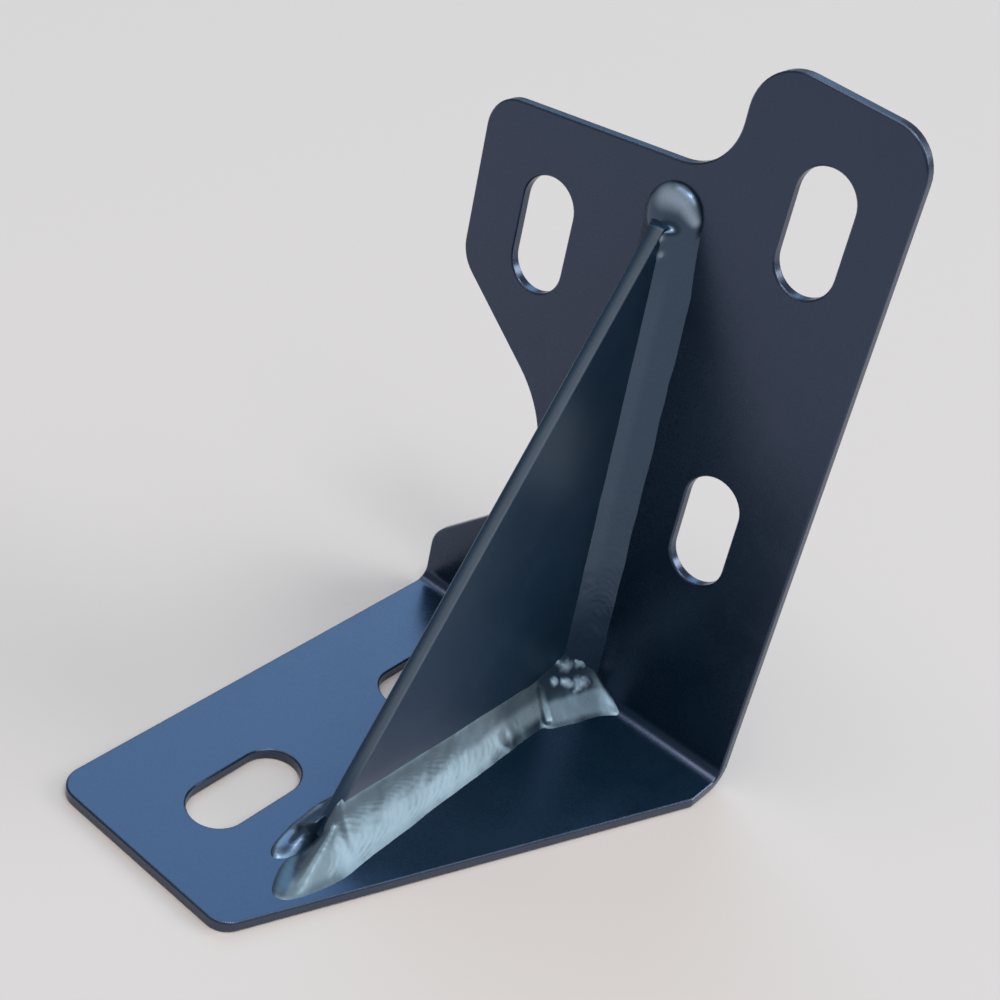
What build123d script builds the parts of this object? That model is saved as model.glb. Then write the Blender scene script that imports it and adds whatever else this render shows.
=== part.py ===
from build123d import *
import os
from math import cos, radians, sin, tan

os.makedirs("parts", exist_ok=True)

# Welded gusset bracket: a sheet folded once into a wall leg and a base leg,
# with an upright triangular gusset welded into the angle.
# Units are mm. X runs along the fold, Y from the base's free end towards
# the wall, Z up. The origin is below the middle of the bounding box.

# Folded sheet
sheet = 2.5
bend_inside = 3.0
width = 95.0
depth = 112.0
right_x = width / 2
ear_x = -width / 2
base_left_x = right_x - 88.5
wall_back_y = depth / 2
inner_y = wall_back_y - sheet
base_end_y = -depth / 2

# Wall leg: heights are above the floor
right_top_z = 152.8
horn_top_z = 155.2
horn_x = right_x - 37.3
notch_z = 130.3
ear_top_z = 124.8
ear_bottom_z = 86.9
waist_x = right_x - 51.6
waist_z = 50.0
shoulder_z = 15.8
outer_corner_r = 9.0
horn_r = 10.0
notch_r = 12.0
ear_r = 8.0
waist_r = 26.5

# Base leg: its right side tapers towards the free end
taper_start_y = inner_y - 9.8
tip_x = right_x - 39.6
base_corner_r = 5.5
taper_r = 2.0
edge_break = 0.3

# Slots: width, then length over the round ends
slot_width = 13.0
wall_slot_length = 26.0
base_slot_length = 27.0
slot_ear = (right_x - 75.8, 100.5)
slot_horn = (right_x - 17.3, 127.6)
slot_low = (right_x - 20.9, 57.4)
base_slot_x = right_x - 63.3
base_slot_y = -0.3
base_slot_pitch = 56.0

# Gusset: stands a little off square, as welded
gusset_thickness = 3.0
gusset_lean = 1.5
foot_x = right_x - 41.5
gusset_height = 115.3
gusset_top_land = 6.5
gusset_length = 81.3
gusset_toe_land = 2.5
sink = 0.6

# Weld beads: legs on the sheet, then on the gusset. The right base bead
# was laid from the root outwards, and widens as it goes.
wall_legs = (5.4, 5.4)
root_legs = (5.6, 7.8)
toe_legs = (8.0, 8.0)
back_legs = (5.2, 5.2)
wall_crown = 0.4
base_crown = -0.3

# Weld metal pooled in the bend: a ball whose middle is below the corner
pool_r = 21.0
pool_back = 3.0
pool_drop = 10.3

# Domes that close the runs: radius on the sheet, then height
top_end = (6.5, 5.5)
toe_end = (7.0, 5.6)
toe_tail = (6.0, 4.0)
back_end = (5.4, 4.4)
toe_end_xy = (right_x - 43.0, inner_y - 84.0)
toe_tail_xy = (right_x - 40.2, inner_y - 90.6)
toe_tail_legs = (6.8, 3.4)
back_end_xy = (right_x - 46.2, inner_y - 82.5)
top_end_rise = 1.2

# Rough stock left beyond the outline, and the slack when edges are picked
stock = 5.0
slack = 0.01

lean = radians(gusset_lean)
back_foot_x = foot_x - gusset_thickness / cos(lean)
mid_x = (foot_x + back_foot_x) / 2


def corner_of(sketch, x, y):
    """The sketch vertex nearest to a point of its own plane."""
    return sketch.vertices().sort_by(lambda v: (v.X - x) ** 2 + (v.Y - y) ** 2)[0]


# The sheet's section: two legs joined by the bend
with BuildPart() as bent_plate:
    with BuildSketch(Plane.YZ) as section:
        with BuildLine():
            Polyline(
                (base_end_y, 0),
                (wall_back_y, 0),
                (wall_back_y, horn_top_z + stock),
                (inner_y, horn_top_z + stock),
                (inner_y, sheet),
                (base_end_y, sheet),
                close=True,
            )
        make_face()
        fillet(corner_of(section, wall_back_y, 0), bend_inside + sheet)
        fillet(corner_of(section, inner_y, sheet), bend_inside)
    extrude(amount=width / 2, both=True)

    # Outline seen along Y: the wall leg with its ear, horn and waist
    with BuildSketch(Plane.XZ) as front:
        with BuildLine():
            Polyline(
                (base_left_x, 0),
                (right_x, 0),
                (right_x, right_top_z),
                (horn_x, horn_top_z),
                (horn_x, notch_z),
                (ear_x, ear_top_z),
                (ear_x, ear_bottom_z),
                (waist_x, waist_z),
                (base_left_x, shoulder_z),
                close=True,
            )
        make_face()
        fillet(corner_of(front, right_x, right_top_z), outer_corner_r)
        fillet(corner_of(front, horn_x, horn_top_z), horn_r)
        fillet(corner_of(front, horn_x, notch_z), notch_r)
        fillet(corner_of(front, ear_x, ear_top_z), ear_r)
        fillet(corner_of(front, ear_x, ear_bottom_z), outer_corner_r)
        fillet(corner_of(front, waist_x, waist_z), waist_r)
        fillet(corner_of(front, base_left_x, shoulder_z), ear_r)
    extrude(amount=depth, both=True, mode=Mode.INTERSECT)

    # Outline seen from above: the tapered base leg
    with BuildSketch() as plan:
        with BuildLine():
            Polyline(
                (ear_x, wall_back_y),
                (right_x, wall_back_y),
                (right_x, taper_start_y),
                (tip_x, base_end_y),
                (base_left_x, base_end_y),
                (base_left_x, inner_y - bend_inside),
                (ear_x, inner_y - bend_inside),
                close=True,
            )
        make_face()
        fillet(corner_of(plan, right_x, taper_start_y), taper_r)
        fillet(corner_of(plan, tip_x, base_end_y), base_corner_r)
        fillet(corner_of(plan, base_left_x, base_end_y), base_corner_r)
    extrude(amount=2 * horn_top_z, mode=Mode.INTERSECT)

    # Slots in the wall leg stand upright, those in the base run along Y
    with BuildSketch(Plane.XZ.offset(-inner_y)):
        with Locations(slot_ear, slot_horn, slot_low):
            SlotOverall(wall_slot_length, slot_width, rotation=90)
    extrude(amount=-2 * sheet, mode=Mode.SUBTRACT)
    with BuildSketch():
        with Locations((base_slot_x, base_slot_y)):
            with GridLocations(1, base_slot_pitch, 1, 2):
                SlotOverall(base_slot_length, slot_width, rotation=90)
    extrude(amount=2 * sheet, mode=Mode.SUBTRACT)

    # Sheared edges are broken all round; the bend's own seams are not edges
    seams = bent_plate.edges().filter_by(Axis.X)
    seams = seams.filter_by_position(Axis.Y, base_end_y + sheet, depth)
    across = bent_plate.edges().filter_by(lambda e: abs(e.length - sheet) < slack)
    chamfer(bent_plate.edges() - seams - across, edge_break)
bent_plate.part.label = "bent_plate"

# The gusset's face plane: Y to the right, up along the lean
gusset_plane = Plane(
    origin=(foot_x, inner_y, sheet),
    x_dir=(0, 1, 0),
    z_dir=(cos(lean), 0, sin(lean)),
)
with BuildPart() as gusset:
    with BuildSketch(gusset_plane):
        with BuildLine():
            Polyline(
                (0, -sink),
                (0, gusset_height),
                (-gusset_top_land, gusset_height),
                (-gusset_length, gusset_toe_land),
                (-gusset_length, -sink),
                close=True,
            )
        make_face()
    extrude(amount=-gusset_thickness)
    chamfer(gusset.edges().sort_by(SortBy.LENGTH)[-2:], edge_break)
    add(bent_plate.part, mode=Mode.SUBTRACT)
gusset.part.label = "gusset"


# A run up the wall leans with the gusset; its root starts at the base
lean_up = (-sin(lean), 0, cos(lean))
wall_run_length = gusset_height / cos(lean)
top_end_z = sheet + gusset_height + top_end_rise
top_mid_x = mid_x - gusset_height * tan(lean)


def bead_section(plane, root, floor, side, legs, crown):
    """A weld section whose root is a corner of the plane.

    The legs run along the sheet towards side, and along the gusset. The face
    bulges by the crown, or is hollow where the crown is less than nothing.
    """
    leg_side, leg_down = legs
    toe = root + side * leg_side
    mid = root + side * (leg_side / 2 + crown)
    with BuildSketch(plane) as bead:
        with BuildLine():
            Polyline(
                (root, floor - leg_down),
                (root - side * sink, floor - leg_down),
                (root - side * sink, floor + sink),
                (toe, floor + sink),
                (toe, floor),
            )
            ThreePointArc(
                (toe, floor),
                (mid, floor - leg_down / 2 - crown),
                (root, floor - leg_down),
            )
        make_face()
    return bead.sketch


def dome_ball(dome):
    """Ball radius and how far its middle is below the sheet, for a dome."""
    radius, height = dome
    ball = (radius**2 + height**2) / (2 * height)
    return ball, ball - height


def corner_pool(root, side):
    """The weld metal where the two runs meet in the bend, on one side."""
    with BuildPart() as pool:
        with Locations((root - side * pool_back, inner_y + pool_back, sheet - pool_drop)):
            Sphere(pool_r)
        split(bisect_by=Plane.XY.offset(sheet))
        split(bisect_by=Plane(origin=(0, inner_y, 0), z_dir=(0, -1, 0)))
        split(bisect_by=Plane(origin=(root - side * sink, 0, 0), z_dir=(side, 0, 0)))
    return pool.part


def base_dome(dome, centre):
    """A dome of weld metal on the base."""
    ball, drop = dome_ball(dome)
    with BuildPart() as mound:
        with Locations((*centre, sheet - drop)):
            Sphere(ball)
        split(bisect_by=Plane.XY.offset(sheet))
    return mound.part


def base_plane(y):
    """A plane across the base, X to the right and its own Y downwards."""
    return Plane(origin=(0, y, 0), x_dir=(1, 0, 0), z_dir=(0, 1, 0))


# Base runs, one each side of the gusset; the right one ends round the toe
root_plane = base_plane(inner_y)
toe_plane = base_plane(inner_y - gusset_length)
tail_plane = base_plane(toe_tail_xy[1])
run_start = bead_section(root_plane, foot_x, -sheet, 1, root_legs, base_crown)
run_end = bead_section(toe_plane, foot_x, -sheet, 1, toe_legs, base_crown)
tail_end = bead_section(tail_plane, foot_x, -sheet, 1, toe_tail_legs, base_crown)
left_run = bead_section(root_plane, back_foot_x, -sheet, -1, back_legs, base_crown)

with BuildPart() as base_weld_right:
    loft([run_start, run_end], ruled=True)
    loft([run_end, tail_end], ruled=True)
    add(corner_pool(foot_x, 1))
    add(base_dome(toe_end, toe_end_xy))
    add(base_dome(toe_tail, toe_tail_xy))
    add([bent_plate.part, gusset.part], mode=Mode.SUBTRACT)
base_weld_right.part.label = "base_weld_right"

with BuildPart() as base_weld_left:
    extrude(left_run, amount=back_end_xy[1] - inner_y)
    add(corner_pool(back_foot_x, -1))
    add(base_dome(back_end, back_end_xy))
    add([bent_plate.part, gusset.part, base_weld_right.part], mode=Mode.SUBTRACT)
base_weld_left.part.label = "base_weld_left"

# Wall runs, up both sides of the gusset and round its top end
top_ball_r, top_ball_drop = dome_ball(top_end)
top_ball_y = inner_y + top_ball_drop

rise_plane = Plane.XY.offset(sheet)
right_rise = bead_section(rise_plane, foot_x, inner_y, 1, wall_legs, wall_crown)
left_rise = bead_section(rise_plane, back_foot_x, inner_y, -1, wall_legs, wall_crown)

with BuildPart() as wall_weld_right:
    extrude(right_rise, amount=wall_run_length, dir=lean_up)
    with Locations(Location((top_mid_x, top_ball_y, top_end_z))):
        Sphere(top_ball_r)
    split(bisect_by=Plane(origin=(0, inner_y, 0), z_dir=(0, -1, 0)))
    add(
        [bent_plate.part, gusset.part, base_weld_right.part, base_weld_left.part],
        mode=Mode.SUBTRACT,
    )
wall_weld_right.part.label = "wall_weld_right"

with BuildPart() as wall_weld_left:
    extrude(left_rise, amount=wall_run_length, dir=lean_up)
    add(
        [bent_plate.part, gusset.part, base_weld_left.part, wall_weld_right.part],
        mode=Mode.SUBTRACT,
    )
wall_weld_left.part.label = "wall_weld_left"

welds = (base_weld_right, base_weld_left, wall_weld_right, wall_weld_left)
for node in (bent_plate, gusset, *welds):
    export_step(node.part, "parts/" + node.part.label + ".step")
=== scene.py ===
# A welded gusset bracket: a folded sheet and a gusset under dark dip paint, with hand-laid beads.
# X runs along the fold, Y towards the wall and Z up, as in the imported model. Blender's scene is in
# metres. The weld metal is worked out in millimetres and scaled by MM at the end.
import bpy
import math
import numpy as np
from mathutils import Matrix, Vector, noise


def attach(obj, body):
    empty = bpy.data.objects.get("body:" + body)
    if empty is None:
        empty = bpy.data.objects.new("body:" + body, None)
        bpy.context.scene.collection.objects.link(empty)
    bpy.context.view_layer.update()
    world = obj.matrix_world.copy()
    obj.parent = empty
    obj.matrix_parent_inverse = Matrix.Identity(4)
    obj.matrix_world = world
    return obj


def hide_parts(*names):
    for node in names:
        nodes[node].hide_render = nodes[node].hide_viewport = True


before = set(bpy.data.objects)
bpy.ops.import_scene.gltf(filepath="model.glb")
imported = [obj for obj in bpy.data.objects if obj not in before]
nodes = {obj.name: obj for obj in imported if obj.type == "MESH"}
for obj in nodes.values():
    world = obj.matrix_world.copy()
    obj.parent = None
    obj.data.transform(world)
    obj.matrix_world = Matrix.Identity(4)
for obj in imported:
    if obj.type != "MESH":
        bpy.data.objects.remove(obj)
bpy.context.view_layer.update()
MM = 0.001

# ---------------------------------------------------------------- camera
# Fitted to the bracket's slots and straight edges
CAMERA_PLACE = (0.15169, -0.21268, 0.25260)
CAMERA_RIGHT = (0.747941, 0.639542, 0.177682)
CAMERA_UP = (-0.482614, 0.340190, 0.807065)
CAMERA_BACK = (0.455706, -0.689389, 0.563094)

cam_data = bpy.data.cameras.new("camera")
cam_data.sensor_width = 36.0
cam_data.lens = 61.134
cam_data.clip_start = 0.02
cam_data.clip_end = 40.0
camera = bpy.data.objects.new("camera", cam_data)
bpy.context.scene.collection.objects.link(camera)
turn = Matrix((CAMERA_RIGHT, CAMERA_UP, CAMERA_BACK)).transposed().to_4x4()
camera.matrix_world = Matrix.Translation(CAMERA_PLACE) @ turn
bpy.context.scene.camera = camera

# ---------------------------------------------------------------- named sizes, mm
SHEET = 2.5  # the sheet's thickness, so the height of the base's upper face
INNER_Y = 53.5  # the wall's inner face
LEAN = math.tan(math.radians(1.5))  # how far the gusset leans to the left for its height
FOOT_X = 6.0  # the gusset's right face at its foot
BACK_X = 3.0  # its left face there
TOE_Y = -27.8  # its low end
GUSSET_TOP = 117.8
EDGE_SLOPE = 1.508  # how fast its free edge rises towards the wall
FREE_EDGE = (-0.01447, -0.83341, 0.55246)  # the way that its free edge faces
ACROSS = (0.99966, 0.0, 0.02618)  # the way that its right face faces
SINK = 1.0  # how deep the weld's parts are buried in the steel


# ---------------------------------------------------------------- materials
# Places of the Mix node's colour sockets, whose names its other sockets share
MIX_A, MIX_B, MIX_RESULT = 6, 7, 2


def new_material(name):
    mat = bpy.data.materials.new(name)
    mat.use_nodes = True
    mat.node_tree.nodes.clear()
    return mat, mat.node_tree


def noise_tex(nt, coord, scale, detail, rough, distort=0.0):
    n = nt.nodes.new("ShaderNodeTexNoise")
    n.inputs["Scale"].default_value = scale
    n.inputs["Detail"].default_value = detail
    n.inputs["Roughness"].default_value = rough
    n.inputs["Distortion"].default_value = distort
    nt.links.new(coord, n.inputs["Vector"])
    return n.outputs["Fac"]


def ramp(nt, fac, stops):
    r = nt.nodes.new("ShaderNodeValToRGB")
    while len(r.color_ramp.elements) < len(stops):
        r.color_ramp.elements.new(0.5)
    for e, (pos, col) in zip(r.color_ramp.elements, stops):
        e.position = pos
        e.color = (*col, 1.0)
    nt.links.new(fac, r.inputs["Fac"])
    return r.outputs["Color"]


def maths(nt, op, a, b):
    m = nt.nodes.new("ShaderNodeMath")
    m.operation = op
    for socket, value in zip(m.inputs, (a, b)):
        if isinstance(value, (int, float)):
            socket.default_value = value
        else:
            nt.links.new(value, socket)
    return m.outputs[0]


def product(nt, first, *rest):
    for value in rest:
        first = maths(nt, "MULTIPLY", first, value)
    return first


def total(nt, a, b):
    return maths(nt, "ADD", a, b)


def inverse(nt, value):
    return maths(nt, "SUBTRACT", 1.0, value)


def map_range(nt, value, a, b, lo, hi):
    m = nt.nodes.new("ShaderNodeMapRange")
    m.inputs["From Min"].default_value = a
    m.inputs["From Max"].default_value = b
    m.inputs["To Min"].default_value = lo
    m.inputs["To Max"].default_value = hi
    nt.links.new(value, m.inputs["Value"])
    return m.outputs["Result"]


def bump(nt, height, distance, normal):
    b = nt.nodes.new("ShaderNodeBump")
    b.inputs["Distance"].default_value = distance
    nt.links.new(height, b.inputs["Height"])
    nt.links.new(normal, b.inputs["Normal"])
    return b.outputs["Normal"]


def fade(nt, coord, way, near_mm, far_mm):
    """1 where a point lies less far than near along a direction, falling to 0 at far."""
    dot = nt.nodes.new("ShaderNodeVectorMath")
    dot.operation = "DOT_PRODUCT"
    dot.inputs[1].default_value = way
    nt.links.new(coord, dot.inputs[0])
    result = map_range(nt, dot.outputs["Value"], near_mm * MM, far_mm * MM, 1.0, 0.0)
    result.node.interpolation_type = "SMOOTHSTEP"
    return result


def coated(name, deep, light, rough, ior, tint, bevel, wave_depth=0.00005, painted_light=()):
    """Dip paint on steel: a thin dark film with faint mottling and orange peel.

    deep and light are the ends of its mottling. The last argument holds a colour and a
    function for each place where a highlight, a glow or a reflection is painted into the colour.
    """
    mat, nt = new_material(name)
    out = nt.nodes.new("ShaderNodeOutputMaterial")
    shader = nt.nodes.new("ShaderNodeBsdfPrincipled")
    nt.links.new(shader.outputs["BSDF"], out.inputs["Surface"])
    shader.inputs["IOR"].default_value = ior
    shader.inputs["Specular Tint"].default_value = (*tint, 1.0)
    coord = nt.nodes.new("ShaderNodeTexCoord").outputs["Object"]

    patches = noise_tex(nt, coord, 60.0, 5.0, 0.6, 0.4)
    cloud = noise_tex(nt, coord, 16.0, 2.0, 0.5)
    mottle = total(nt, product(nt, patches, 0.6), product(nt, cloud, 0.4))
    colour = ramp(nt, mottle, [(0.30, deep), (0.72, light)])
    # Painted light: each pale colour is mixed in where its mask stands for a highlight, glow or
    # reflection
    for painted_colour, where in painted_light:
        mix = nt.nodes.new("ShaderNodeMix")
        mix.data_type = "RGBA"
        amount = product(nt, where(nt, coord), map_range(nt, patches, 0.25, 0.7, 0.8, 1.1))
        nt.links.new(amount, mix.inputs["Factor"])
        nt.links.new(colour, mix.inputs[MIX_A])
        mix.inputs[MIX_B].default_value = (*painted_colour, 1.0)
        colour = mix.outputs[MIX_RESULT]
    nt.links.new(colour, shader.inputs["Base Color"])

    grain = noise_tex(nt, coord, 900.0, 3.0, 0.6)
    spread = map_range(nt, patches, 0.3, 0.7, rough - 0.03, rough + 0.03)
    spread = total(nt, spread, map_range(nt, grain, 0.3, 0.7, -0.02, 0.02))
    nt.links.new(spread, shader.inputs["Roughness"])

    edge = nt.nodes.new("ShaderNodeBevel")
    edge.samples = 6
    edge.inputs["Radius"].default_value = bevel
    wave = noise_tex(nt, coord, 70.0, 2.0, 0.5)
    peel = noise_tex(nt, coord, 420.0, 3.0, 0.55)
    normal = bump(nt, wave, wave_depth, edge.outputs["Normal"])
    normal = bump(nt, peel, 0.00001, normal)
    nt.links.new(normal, shader.inputs["Normal"])
    return mat


def painted_highlight_layer(layer):
    """How strong a painted highlight is on weld metal, 0 to 1, as weld_metal works it out point by
    point.
    """
    def read(nt, coord):
        share = nt.nodes.new("ShaderNodeAttribute")
        share.attribute_name = layer
        return share.outputs["Fac"]
    return read


def painted_toe_glow(nt, coord):
    """Painted light on the gusset's right side: paler towards the toe where light falls, and most in
    a glow close above the bead, a painted reflection of the bright bead.
    """
    up = fade(nt, coord, (0, 0, 1), 4.0, 40.0)
    along = fade(nt, coord, (0, 1, 0), -26.0, 28.0)
    close_up = fade(nt, coord, (0, 0, 1), 9.0, 17.0)
    close_along = fade(nt, coord, (0, 1, 0), -22.0, 20.0)
    glow = product(nt, close_up, close_along, 0.40)
    painted_glow_amount = total(nt, product(nt, up, along, 0.46), glow)
    return product(nt, painted_glow_amount, fade(nt, coord, FREE_EDGE, 25.0, 25.6))


def painted_edge_highlight(nt, coord):
    """A painted highlight along the right side of the gusset's free edge, stronger higher up."""
    on_edge = inverse(nt, fade(nt, coord, FREE_EDGE, 25.1, 25.5))
    right = inverse(nt, fade(nt, coord, ACROSS, 3.6, 5.4))
    high = inverse(nt, fade(nt, coord, (0, 0, 1), 8.0, 26.0))
    return product(nt, on_edge, right, product(nt, high, 0.62))


sheet_coat = coated(
    "sheet_coat", (0.0006, 0.0076, 0.0160), (0.0024, 0.0122, 0.0245),
    rough=0.27, ior=1.88, tint=(0.56, 0.66, 1.0), bevel=0.00035,
)
# Its pale colours are painted light: a glow towards the toe and over the bead, and a highlight on
# the free edge
gusset_coat = coated(
    "gusset_coat", (0.0016, 0.0130, 0.0300), (0.0060, 0.0210, 0.0440),
    rough=0.38, ior=1.78, tint=(0.56, 0.75, 1.0), bevel=0.00030,
    painted_light=[((0.118, 0.110, 0.126), painted_toe_glow), ((0.110, 0.128, 0.158), painted_edge_highlight)],
)
# Its pale colour is painted highlight: on the left toe's rim and on the upright bead's crown,
# spatter and edge
weld_coat = coated(
    "weld_coat", (0.0050, 0.0130, 0.0230), (0.0110, 0.0210, 0.0330),
    rough=0.28, ior=2.00, tint=(0.46, 0.66, 1.0), bevel=0.00010, wave_depth=0.00004,
    painted_light=[((0.290, 0.345, 0.420), painted_highlight_layer("painted_highlight"))],
)
# Its pale colours are painted highlights: a band along the run, and brighter ones on the laps and
# the pool's skirt
right_base_weld_coat = coated(
    "right_base_weld_coat", (0.0040, 0.0120, 0.0230), (0.0100, 0.0200, 0.0330),
    rough=0.30, ior=1.80, tint=(0.62, 0.84, 1.0), bevel=0.00010, wave_depth=0.00004,
    painted_light=[((0.275, 0.348, 0.395), painted_highlight_layer("painted_highlight")),
          ((0.420, 0.570, 0.700), painted_highlight_layer("painted_lap_highlight"))],
)

for node_name, mat in (("bent_plate", sheet_coat), ("gusset", gusset_coat)):
    obj = nodes[node_name]
    obj.data.materials.clear()
    obj.data.materials.append(mat)


# ---------------------------------------------------------------- curves, noise and falloffs
def smooth(lo, hi, x):
    """0 at lo, rising smoothly to 1 at hi."""
    t = np.clip((x - lo) / (hi - lo), 0.0, 1.0)
    return t * t * (3 - 2 * t)


def table(places, values):
    """A function that runs straight from each value to the next."""
    return lambda x: float(np.interp(x, places, values))


def wavering(size, swing, seed):
    """A size along a bead, a number or a function of the station, with a slow random swing."""
    def at(s):
        plain = size(s) if callable(size) else size
        return plain + swing * noise.noise(Vector((s * 0.16, seed, 0.5 * seed)))
    return at


def fractal(points, scale, seed):
    shift = Vector((seed, seed * 1.7, seed * 0.3))
    return np.array([noise.fractal(Vector(p) * scale + shift, 1.0, 2.0, 3) for p in points])


def bent(co):
    """Points pushed about by noise, so that what is placed by them isn't round."""
    return co + 0.6 * np.stack([fractal(co, 0.55, seed) for seed in (21.0, 22.0, 23.0)], axis=1)


def falling(d):
    """1 at distance 0, falling smoothly to 0 at distance 1."""
    return np.where(d < 1, (1 - d * d) ** 2, 0.0)


def near(co, centre, radius):
    """1 at a point, falling to 0 at the radius."""
    return falling(np.linalg.norm(co - np.array(centre), axis=1) / radius)


def line_near(co, ends, radius):
    """1 on a straight line between two points, falling to 0 at the radius."""
    a, b = np.array(ends[0]), np.array(ends[1])
    along = np.clip(((co - a) @ (b - a)) / max((b - a) @ (b - a), 1e-9), 0.0, 1.0)
    return falling(np.linalg.norm(co - (a + along[:, None] * (b - a)), axis=1) / radius)


def ring_near(co, centre, radius, width):
    """1 at the radius from a point, falling off over the width on both sides."""
    d = (np.linalg.norm(co - np.array(centre), axis=1) - radius) / width
    return np.exp(-d * d)


def curve_span(four, steps=8):
    """Points of a smooth curve from the second of four points up to just before the third."""
    p0, p1, p2, p3 = (np.array(p, float) for p in four)
    made = []
    for j in range(steps):
        t = j / steps
        square = (2 * p0 - 5 * p1 + 4 * p2 - p3) * t**2
        cube = (3 * p1 - p0 - 3 * p2 + p3) * t**3
        made.append(tuple(0.5 * (2 * p1 + (p2 - p0) * t + square + cube)))
    return made


def open_curve(points):
    """A smooth open curve through points of a plane."""
    points = list(points)
    ends = [points[0], *points, points[-1]]
    spans = [curve_span(ends[i:i + 4]) for i in range(len(points) - 1)]
    return sum(spans, []) + [tuple(points[-1])]


def closed_curve(points):
    """A smooth closed curve through points of a plane."""
    ends = [points[-1], *points, *points[:2]]
    return sum((curve_span(ends[i:i + 4]) for i in range(len(points))), [])


# ---------------------------------------------------------------- forms of weld metal
def loft(rings):
    """A closed skin through rings of equal length, as (points, faces)."""
    count = len(rings[0])
    points = [p for ring in rings for p in ring]
    faces = []
    for r in range(len(rings) - 1):
        for i in range(count):
            j = (i + 1) % count
            a, b = r * count, (r + 1) * count
            faces.append((a + i, a + j, b + j, b + i))
    faces.append(tuple(reversed(range(count))))
    last = (len(rings) - 1) * count
    faces.append(tuple(last + i for i in range(count)))
    return points, faces


def face_profile(leg, rise, knee=4.2, steps=16):
    """Points of a bead's face from its toe on the sheet up to the gusset."""
    pts = []
    slope = max(0.0, rise / leg - 1.0) * 2 * leg / knee
    for i in range(steps + 1):
        u = leg * (1 - i / steps)
        pts.append((u, (leg - u) + slope * max(0.0, knee - u) ** 2 / (2 * knee)))
    top = pts[-1][1]
    return [(u, v * rise / top) for u, v in pts]


def hollow_profile(leg, rise, skirt, power=2.6, steps=18):
    """A hollow face: a gentle skirt on the sheet that steepens at the gusset."""
    pts = []
    for i in range(steps + 1):
        t = i / steps
        pts.append((leg * (1 - t), rise * (skirt * t + (1 - skirt) * t**power)))
    return pts


def climb_profile(leg, rise):
    """The upright beads are only slightly hollow."""
    return hollow_profile(leg, rise, 0.82, 2.0)


def bead(stations, place, leg, rise, profile=face_profile):
    """A bead through stations: leg and rise are functions of the station."""
    rings = []
    for s in stations:
        face = profile(leg(s), rise(s))
        foot, top = face[0][0] + SINK, face[-1][1] + 1.3 * SINK
        around = [(-SINK, -SINK), (foot, -SINK)] + face + [(-SINK, top)]
        rings.append([place(s, u, v) for u, v in around])
    return loft(rings)


def base_place(side, foot):
    """Places a bead's section on the base: side is 1 on the gusset's right, -1 on its left."""
    return lambda s, u, v: (foot + side * u, s, SHEET + v)


def wall_place(side, foot):
    """Places a bead's section on the wall, beside the leaning gusset."""
    return lambda s, u, v: (foot + side * u - LEAN * (s - SHEET), INNER_Y - v, s)


def mound(centre, radii, flat, rings=14, count=40):
    """A squashed dome on the wall with a buried foot: radii across, upright and out."""
    out, side = Vector((0, -1, 0)), Vector((1, 0, 0))
    upright = out.cross(side)
    made = []
    for r in range(rings + 1):
        angle = -0.22 + (math.pi / 2 + 0.22) * r / rings
        wide, tall = math.cos(angle), math.sin(angle)
        high = max(math.copysign(abs(tall) ** flat, tall) * radii[2], -SINK)
        wide = max(wide, 0.02)
        row = []
        for i in range(count):
            a = 2 * math.pi * i / count
            p = Vector(centre) + side * (radii[0] * wide * math.cos(a))
            p = p + upright * (radii[1] * wide * math.sin(a)) + out * high
            row.append(tuple(p))
        made.append(row)
    return loft(made)


def tent(apex, rim, height, skirt, power, rings=16):
    """Wetted weld metal on the base: a hollow-sided heap over a closed rim of points.

    Under the sheet's face it goes on outwards by under_rim, so that its edge is clean.
    """
    under_rim, last_ring = 1.6, 0.985
    foot = []
    for x, y in rim:
        out = under_rim / math.hypot(x - apex[0], y - apex[1])
        foot.append((x + (x - apex[0]) * out, y + (y - apex[1]) * out, SHEET - SINK))
    made = [foot]
    for r in range(rings + 1):
        t = r / rings
        high = height * (skirt * t + (1 - skirt) * t**power)
        t = min(t, last_ring)
        row = [(x + (apex[0] - x) * t, y + (apex[1] - y) * t, SHEET + high) for x, y in rim]
        made.append(row)
    return loft(made)


def rib(path, half_width, height):
    """A low rounded ridge of weld metal along a path on the sheet, tapered at its ends."""
    path = [np.array(p, float) for p in path]
    arc_steps = 12
    rings = []
    for i, p in enumerate(path):
        ahead = path[min(i + 1, len(path) - 1)] - path[max(i - 1, 0)]
        side = np.array((ahead[1], -ahead[0])) / np.linalg.norm(ahead)
        t = i / (len(path) - 1)
        taper = math.sqrt(max(0.04, 1 - (2 * t - 1) ** 4))
        around = [(*(p - side * half_width * taper), SHEET - SINK)]
        for k in range(arc_steps + 1):
            a = math.pi * k / arc_steps
            across = p - side * half_width * taper * math.cos(a)
            around.append((*across, SHEET + height * taper * math.sin(a)))
        around.append((*(p + side * half_width * taper), SHEET - SINK))
        rings.append(around)
    return loft(rings)


def read_points(mesh, what="co"):
    values = np.empty(len(mesh.vertices) * 3)
    mesh.vertices.foreach_get(what, values)
    return values.reshape(-1, 3)


def relax(mesh, rounds, share=None):
    """Laplacian smoothing of a mesh, in place, wholly or by each point's share."""
    co = read_points(mesh)
    count = len(co)
    pairs = np.empty(len(mesh.edges) * 2, dtype=np.int64)
    mesh.edges.foreach_get("vertices", pairs)
    a, b = pairs.reshape(-1, 2).T
    degree = np.bincount(np.concatenate((a, b)), minlength=count)[:, None]
    step = 0.5 if share is None else 0.5 * share[:, None]
    for _ in range(rounds):
        sums = np.zeros_like(co)
        for axis in range(3):
            sums[:, axis] = np.bincount(a, co[b, axis], count) + np.bincount(b, co[a, axis], count)
        co = (1 - step) * co + step * sums / degree
    mesh.vertices.foreach_set("co", co.ravel())
    mesh.update()


VOXEL = 0.3  # mm
RELAX_ROUNDS = 8
MELT_ROUNDS = 36


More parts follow.
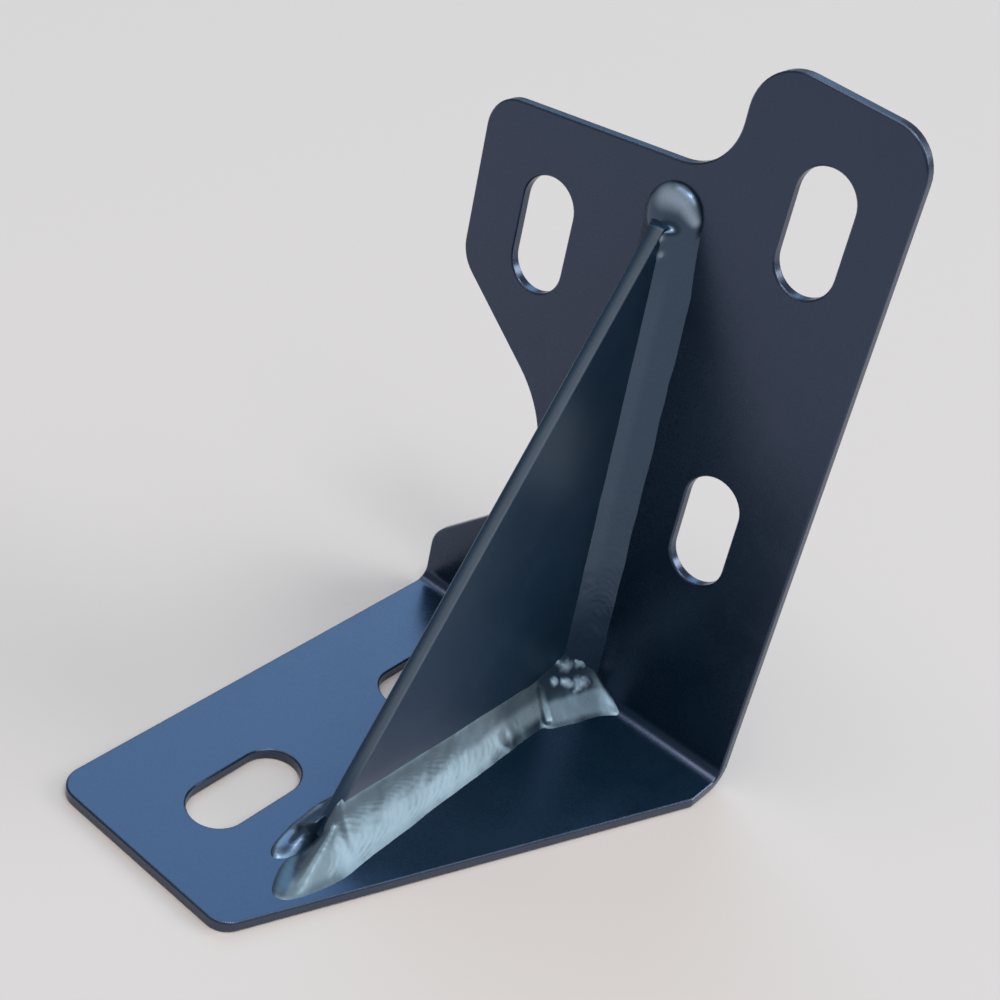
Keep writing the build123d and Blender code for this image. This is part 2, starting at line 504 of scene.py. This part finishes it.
def weld_metal(name, parts, replaced, dress, coat=weld_coat, melt=None, highlight_masks=()):
    """Joins the parts, remeshes them as one casting, relaxes and dresses it.

    dress gives how far each point moves out along its normal, in mm. melt gives how far
    each point takes part in a longer smoothing, 0 to 1. The last argument holds names and
    functions of how strong the painted highlights are there, 0 to 1.
    """
    points, faces = [], []
    for pts, fcs in parts:
        base = len(points)
        points += [tuple(c * MM for c in p) for p in pts]
        faces += [tuple(base + i for i in f) for f in fcs]
    mesh = bpy.data.meshes.new(name)
    mesh.from_pydata(points, [], faces)
    obj = bpy.data.objects.new(name, mesh)
    bpy.context.scene.collection.objects.link(obj)
    mod = obj.modifiers.new("remesh", "REMESH")
    mod.mode = "VOXEL"
    mod.voxel_size = VOXEL * MM
    bpy.context.view_layer.update()
    graph = bpy.context.evaluated_depsgraph_get()
    made = bpy.data.meshes.new_from_object(obj.evaluated_get(graph))
    obj.modifiers.clear()
    obj.data = made

    relax(made, RELAX_ROUNDS)
    if melt:
        relax(made, MELT_ROUNDS, melt(read_points(made) / MM))
    co = read_points(made) / MM
    normals = read_points(made, "normal")
    for layer, share in highlight_masks:
        highlight_amount = made.attributes.new(layer, "FLOAT", "POINT")
        highlight_amount.data.foreach_set("value", np.clip(share(co), 0.0, 1.0))
    co = co + normals * dress(co)[:, None]
    made.vertices.foreach_set("co", (co * MM).ravel())
    made.update()
    relax(made, 1)
    for poly in made.polygons:
        poly.use_smooth = True
    made.materials.clear()
    made.materials.append(coat)
    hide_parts(*replaced)
    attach(obj, "root")


def skin(co, seeds, along, across, on_run):
    """The weld's own surface: slow lumps, fine grain, and scaly ripples on the run."""
    lump = fractal(co, 0.16, seeds[0])
    fine = fractal(co, 0.5, seeds[1])
    pitch, depth, bow, wander = 1.9, 0.010, 0.16, 1.5
    turns = (along + bow * across * across + wander * lump) / pitch
    return 0.10 + 0.08 * lump + 0.012 * fine + on_run * (depth * np.sin(turns * 2 * math.pi))


# ---------------------------------------------------------------- base bead, right of the gusset
# Narrow at the root, wider towards the toe
right_leg = table([-36, -24, -10, 0, 10, 26, 40], [8.1, 8.0, 7.3, 6.9, 6.6, 6.1, 5.8])


def right_rise(y):
    """The bead stands higher than wide, but hardly above the gusset's edge at its low toe."""
    edge_height = 2.5 + (y - TOE_Y) * EDGE_SLOPE
    return min(right_leg(y) + 1.1, edge_height + 1.5)


right_run = bead(
    np.arange(TOE_Y, 42.0, 1.5),
    base_place(1, FOOT_X),
    wavering(right_leg, 0.2, 2.0),
    wavering(right_rise, 0.2, 5.0),
)
toe_heap = tent(
    (6.9, -26.4),
    closed_curve([
        (14.0, -26.5), (14.0, -31.5), (13.2, -36.5), (11.9, -40.4), (10.2, -40.6), (7.2, -37.0),
        (5.0, -32.6), (3.8, -28.6), (5.2, -24.0), (7.5, -18.5), (11.8, -20.5),
    ]),
    6.3, 1.0, 2.0,
)
toe_skirt = tent(
    (8.8, -37.0),
    closed_curve([
        (12.8, -37.0), (12.0, -40.6), (10.6, -42.6), (8.6, -43.4), (7.0, -42.0), (5.2, -39.2),
        (3.8, -36.2), (3.8, -32.5), (9.0, -31.5), (12.4, -33.0),
    ]),
    0.75, 3.0, 1.5,
)


def pool_leg(y):
    """The pool at the root reaches out along the bend."""
    return float(np.interp(INNER_Y - y, [-1.0, 0.6, 1.8, 3.2, 5.4, 8.1, 11.9, 17.5, 18.6],
                           [20.0, 17.4, 15.2, 13.4, 12.0, 11.0, 9.8, 7.5, 6.4]))


def pool_rise(y):
    return float(np.interp(INNER_Y - y, [0, 3, 8, 13, 17.6, 19], [13.0, 11.4, 9.4, 7.9, 6.6, 3.0]))


def pool_profile(leg, rise):
    """The pool's skirt is lower where it runs out along the bend."""
    return hollow_profile(leg, rise, float(np.interp(leg, [11.5, 16.0], [0.55, 0.26])))


pool_stations = np.arange(INNER_Y - 18.6, INNER_Y + 0.9, 0.9)
pool = bead(pool_stations, base_place(1, FOOT_X), pool_leg, pool_rise, pool_profile)

# Cold laps where the three runs meet: both ends of the lap, radius, height, strength of the painted
# highlight on it
LAPS = (
    ((9.6, 44.8, 8.3), (10.2, 45.6, 8.2), 1.9, 0.55, 0.85),
    ((11.4, 47.4, 7.8), (12.4, 49.2, 7.7), 2.5, 0.75, 1.0),
    ((14.6, 51.5, 7.7), (14.8, 51.6, 7.7), 1.6, 0.50, 0.9),
    ((7.8, 42.2, 8.9), (7.9, 42.3, 8.9), 1.5, 0.55, 0.9),
    ((7.2, 45.8, 11.2), (7.7, 47.0, 11.2), 2.1, 0.60, 0.6),
    ((8.9, 49.6, 10.9), (9.2, 50.4, 10.8), 1.8, 0.50, 0.55),
)
# A small crater in the run, and the crease where the run dips under the pool
CRATER = (9.9, 23.7, 4.6)
CREASE = ((11.8, 36.4, 3.6), (7.4, 38.0, 8.4))


def base_dress(co):
    y = co[:, 1]
    across = (co[:, 0] - FOOT_X - 3.5) - (co[:, 2] - SHEET - 3.5)
    out = skin(co, (3.0, 11.0), y, across, smooth(38, 32, y) * smooth(-38, -30, y))
    out = out - 0.10 * near(co, CRATER, 2.0) + 0.07 * ring_near(co, CRATER, 2.2, 0.8)
    out = out - 0.35 * line_near(co, CREASE, 1.4)
    moved = bent(co)
    for first, last, radius, height, _ in LAPS:
        out = out + height * line_near(moved, (first, last), radius)
    return out


def run_painted_highlight(co):
    """A painted highlight along the middle of the run, up to its end ridge, by its place across the
    face, weaker in the crease and the crater.
    """
    x, y, z = co.T
    leg = np.interp(y, [-42, -36, -30, -24, -10, 0, 10, 26, 40],
                    [5.6, 6.9, 7.8, 8.0, 7.3, 6.9, 6.6, 6.1, 5.8])
    across = (x - FOOT_X) / leg
    # Past the run's middle the painted highlight is narrower and lies nearer to the gusset
    far = smooth(16, 24, y)
    climb = smooth(0.30 - 0.1 * far, 0.50 - 0.08 * far, across)
    upper = 0.5 - 0.15 * far + (0.5 + 0.15 * far) * climb
    lower = smooth(1.02 - 0.14 * far, 0.80 - 0.20 * far, across)
    # How strong the painted highlight is along the run
    amount = np.interp(y, [-8, 3, 8, 13, 17, 21, 24, 27, 30, 33, 37],
                       [0.30, 0.33, 0.38, 0.48, 0.57, 0.70, 0.58, 0.34, 0.45, 0.60, 0.50])
    ridge = x - np.interp(y, [-41.8, -35.5, -28.5, -27.0], [10.2, 7.4, 5.8, 5.2])
    right_of_ridge = 0.22 + 0.78 * smooth(-0.6, 0.6, ridge)
    out = amount * upper * lower * smooth(39.0, 37.0, y) * right_of_ridge
    return out * (1 - 0.85 * line_near(co, CREASE, 1.5)) * (1 - 0.4 * near(co, CRATER, 1.4))


def lap_painted_highlight(co):
    """Painted highlights: strongest on the laps, and weaker on the pool's skirt below them, except
    in the crease.
    """
    y, z = co[:, 1], co[:, 2]
    on_skirt = smooth(6.3, 5.3, z) * smooth(2.5, 3.4, z)
    out = 0.30 * smooth(36.5, 38.5, y) * on_skirt * smooth(54.0, 51.5, y)
    out = out * (1 - 0.9 * line_near(co, CREASE, 2.6))
    moved = bent(co)
    for first, last, radius, _, highlight_amount in LAPS:
        out = np.maximum(out, highlight_amount * line_near(moved, (first, last), 0.95 * radius))
    return out


def base_melt(co):
    """The toe and the pool run together more than the bead between them."""
    return np.maximum(smooth(-20, -29, co[:, 1]), smooth(34, 40, co[:, 1]))


# ---------------------------------------------------------------- base bead, left of the gusset
LEFT_RIM = (
    (1.9, -36.2), (0.6, -34.6), (-0.4, -31.4), (-1.1, -26.8), (-1.8, -21.0), (-2.0, -16.0),
)
left_run = bead(
    np.arange(TOE_Y - 1.0, 52.0, 1.5),
    base_place(-1, BACK_X),
    wavering(5.3, 0.25, 12.0),
    wavering(5.2, 0.2, 13.0),
)
left_heap = tent(
    (2.6, -27.0),
    closed_curve([
        (3.1, -35.4), (1.7, -36.8), (0.2, -35.4), (-0.9, -31.6), (-1.8, -26.5), (-2.6, -20.5),
        (-2.5, -14.0), (0.5, -12.0), (2.8, -17.0), (3.4, -26.0), (4.2, -32.4),
    ]),
    5.4, 0.35, 3.2,
)
left_rim = rib(open_curve(LEFT_RIM), 1.2, 0.95)
left_pool = bead(
    pool_stations,
    base_place(-1, BACK_X),
    lambda y: 0.8 * pool_leg(y),
    lambda y: 0.85 * pool_rise(y),
    pool_profile,
)


def left_toe_painted_highlight(co):
    """A painted highlight on the rim of the left bead's toe."""
    path = [(*p, SHEET + 1.0) for p in LEFT_RIM[:5]]
    return 0.26 * np.max([line_near(co, ends, 1.5) for ends in zip(path, path[1:])], axis=0)


def left_melt(co):
    """The left toe keeps more of its shape than the right one."""
    return np.maximum(0.4 * smooth(-20, -28, co[:, 1]), smooth(34, 40, co[:, 1]))


# ---------------------------------------------------------------- upright beads
rise_stations = np.arange(SHEET + 1.0, GUSSET_TOP + 0.1, 1.5)
right_climb = bead(
    rise_stations,
    wall_place(1, FOOT_X),
    wavering(table([104, 118], [5.7, 4.4]), 0.25, 7.0),
    wavering(6.0, 0.2, 8.0),
    climb_profile,
)
left_climb = bead(
    rise_stations,
    wall_place(-1, BACK_X),
    wavering(5.3, 0.25, 9.0),
    wavering(5.2, 0.2, 10.0),
    climb_profile,
)
# The crown that wraps the gusset's top, and the drop that hangs from it at the free edge
top_mound = mound((1.0, INNER_Y, 118.2), (6.6, 7.2, 3.5), 1.0)
nose_mound = mound((1.4, INNER_Y, 113.4), (2.6, 4.4, 6.0), 0.7)
# Two beads of spatter at the gusset's top corner
SPATTER = ((3.3, 46.9, 115.8), (3.8, 47.5, 112.4))
# The painted highlight over the crown: points and the stroke's radius at each
CROWN = (
    (-0.6, 50.9, 122.4, 3.6), (1.6, 51.0, 122.9, 3.5), (3.8, 51.3, 122.4, 2.7),
    (6.6, 52.0, 119.8, 1.6),
)


def wall_dress(co):
    z = co[:, 2]
    across = (co[:, 0] - FOOT_X - 3) + (co[:, 1] - INNER_Y + 3)
    out = skin(co, (9.0, 4.0), z, across, smooth(14, 20, z) * smooth(114, 106, z))
    for centre in SPATTER:
        out = out + 0.8 * near(co, centre, 1.3)
    return out


def wall_painted_highlight(co):
    """Painted highlights on the bead's crown and spatter, and a faint one along its edge on the
    gusset.
    """
    x, y, z = co.T
    inner = x + LEAN * (z - SHEET) - FOOT_X
    out = 0.05 * smooth(2.6, 1.2, inner) * smooth(20, 40, z) * smooth(112, 100, z)
    stroke = np.array(CROWN)
    for t in np.linspace(0, len(CROWN) - 1, 25):
        *centre, radius = [np.interp(t, range(len(CROWN)), column) for column in stroke.T]
        out = np.maximum(out, 0.9 * near(co, centre, radius))
    for centre in SPATTER:
        out = np.maximum(out, 0.9 * near(co, centre, 1.6))
    return out


def wall_melt(co):
    """The crown of the upright bead is one soft drop."""
    return smooth(106, 112, co[:, 2])


# The layers given last mark where highlights are painted on each bead
weld_metal(
    "base_bead_right", [right_run, toe_heap, toe_skirt, pool], ["base_weld_right"], base_dress,
    coat=right_base_weld_coat, melt=base_melt,
    highlight_masks=[("painted_highlight", run_painted_highlight), ("painted_lap_highlight", lap_painted_highlight)],
)
weld_metal(
    "base_bead_left", [left_run, left_heap, left_rim, left_pool], ["base_weld_left"], base_dress,
    melt=left_melt, highlight_masks=[("painted_highlight", left_toe_painted_highlight)],
)
weld_metal(
    "wall_bead_right", [right_climb, top_mound, nose_mound], ["wall_weld_right"], wall_dress,
    melt=wall_melt, highlight_masks=[("painted_highlight", wall_painted_highlight)],
)
weld_metal("wall_bead_left", [left_climb], ["wall_weld_left"], wall_dress)

# ---------------------------------------------------------------- floor and light
FLOOR_HALF = 15.0
FLOOR_Z = -0.0002  # just under the base
floor_mesh = bpy.data.meshes.new("floor")
floor_corners = [(-1, -1), (1, -1), (1, 1), (-1, 1)]
floor_mesh.from_pydata(
    [(x * FLOOR_HALF, y * FLOOR_HALF, FLOOR_Z) for x, y in floor_corners], [], [(0, 1, 2, 3)])
floor = bpy.data.objects.new("floor", floor_mesh)
bpy.context.scene.collection.objects.link(floor)
floor_mat, floor_nt = new_material("floor_paper")
floor_out = floor_nt.nodes.new("ShaderNodeOutputMaterial")
floor_bsdf = floor_nt.nodes.new("ShaderNodeBsdfDiffuse")
floor_bsdf.inputs["Color"].default_value = (0.513, 0.464, 0.442, 1.0)
floor_nt.links.new(floor_bsdf.outputs["BSDF"], floor_out.inputs["Surface"])
floor.data.materials.append(floor_mat)

world = bpy.data.worlds.new("studio")
bpy.context.scene.world = world
world.use_nodes = True
background = world.node_tree.nodes["Background"]
background.inputs["Color"].default_value = (1.0, 1.0, 1.0, 1.0)
background.inputs["Strength"].default_value = 0.22

LIGHT_DISTANCE = 6.0
LIGHT_AIM = (0.0, 0.0, 0.06)


def softbox(name, towards, wide, tall, radiance, colour):
    """A soft light: towards is its direction from the bracket, wide and tall its spread there."""
    data = bpy.data.lights.new(name, "AREA")
    data.shape = "RECTANGLE"
    data.size = wide * LIGHT_DISTANCE
    data.size_y = tall * LIGHT_DISTANCE
    data.color = colour
    data.energy = radiance * data.size * data.size_y * math.pi
    obj = bpy.data.objects.new(name, data)
    bpy.context.scene.collection.objects.link(obj)
    way = Vector(towards).normalized()
    obj.location = Vector(LIGHT_AIM) + way * LIGHT_DISTANCE
    obj.rotation_mode = "QUATERNION"
    obj.rotation_quaternion = way.to_track_quat("Z", "Y")


softbox("cool_back_left", (-0.50, 0.52, 0.68), 0.75, 0.75, 2.45, (0.37, 0.65, 0.93))
softbox("back_right", (0.66, 0.60, 0.46), 0.62, 0.40, 7.1, (0.92, 0.98, 1.0))
softbox("high_front", (-0.05, -0.30, 0.95), 0.95, 0.50, 2.8, (1.0, 0.99, 1.0))
softbox("high_right", (0.50, -0.04, 0.86), 0.70, 0.70, 3.0, (0.92, 0.99, 1.0))
softbox("key", (0.30, -0.16, 0.93), 0.26, 0.20, 15.0, (0.94, 0.99, 1.0))

bpy.context.scene.view_settings.view_transform = "Standard"
